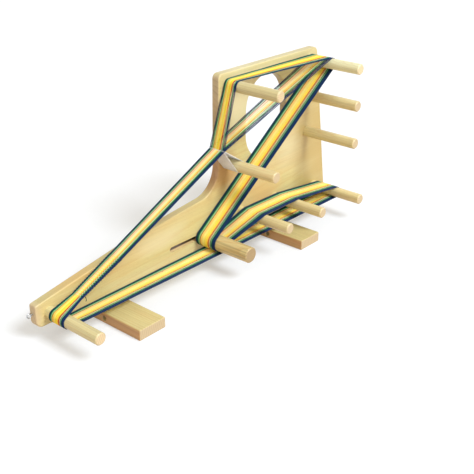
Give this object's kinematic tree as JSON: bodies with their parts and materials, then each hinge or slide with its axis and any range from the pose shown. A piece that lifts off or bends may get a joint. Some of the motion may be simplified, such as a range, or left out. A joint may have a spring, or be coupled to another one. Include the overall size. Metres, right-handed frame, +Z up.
{
  "type": "inkle loom",
  "caption": "Wooden table inkle loom: side board on feet, projecting pegs, sliding tension peg, string heddles and a striped band warp.",
  "frame": {"origin": "on the table, under the middle of the side board's length and thickness", "axes": "+X runs along the loom from the weaver's low front end to the tall rear end, the pegs point to -Y, +Z is up"},
  "size_m": [0.7191, 0.1495, 0.315],
  "materials": {
    "board_wood": "satin",
    "foot_wood": "satin",
    "peg_wood": "satin",
    "zinc_steel": "satin",
    "insert_brass": "satin",
    "knob_plastic": "matte",
    "warp_yarn": "matte",
    "heddle_string": "matte"
  },
  "bodies": {
    "frame": {"side_board": "board_wood", "front_foot": "foot_wood", "rear_foot": "foot_wood", "foot_bolts": "zinc_steel", "barrel_nuts": "zinc_steel", "foot_dowels": "peg_wood", "peg_screws": "zinc_steel", "front_screw_eye": "zinc_steel", "string_heddles": "heddle_string", "front_peg": "peg_wood", "top_front_peg": "peg_wood", "top_rear_peg": "peg_wood", "upper_rear_peg": "peg_wood", "middle_rear_peg": "peg_wood", "heddle_peg": "peg_wood", "lower_front_peg": "peg_wood", "lower_middle_peg": "peg_wood", "lower_rear_peg": "peg_wood", "warp_front_wrap": "warp_yarn", "warp_weaving_stretch": "warp_yarn", "warp_heddled_rise": "warp_yarn", "warp_top_front_wrap": "warp_yarn", "warp_top_stretch": "warp_yarn", "warp_open_layer": "warp_yarn", "warp_top_rear_wrap": "warp_yarn", "warp_back_stretch": "warp_yarn", "warp_tension_return": "warp_yarn", "warp_lower_return": "warp_yarn", "warp_bottom_return": "warp_yarn"},
    "tensioner": {"tension_peg": "peg_wood", "tension_bolt": "zinc_steel", "tension_washer": "zinc_steel", "warp_tension_wrap": "warp_yarn"},
    "knob": {"tension_knob": "knob_plastic", "knob_insert": "insert_brass"}
  },
  "joints": [
    {"name": "tension_slide", "type": "slide", "parent": "frame", "child": "tensioner", "axis": [1, 0, 0], "range_m": [-0.07, 0.021], "deforming": ["warp_back_stretch", "warp_tension_return"]},
    {"name": "knob_turn", "type": "hinge", "parent": "tensioner", "child": "knob", "pos_m": [-0.012, 0.021, 0.0478], "axis": [0, 1, 0], "continuous": true}
  ]
}
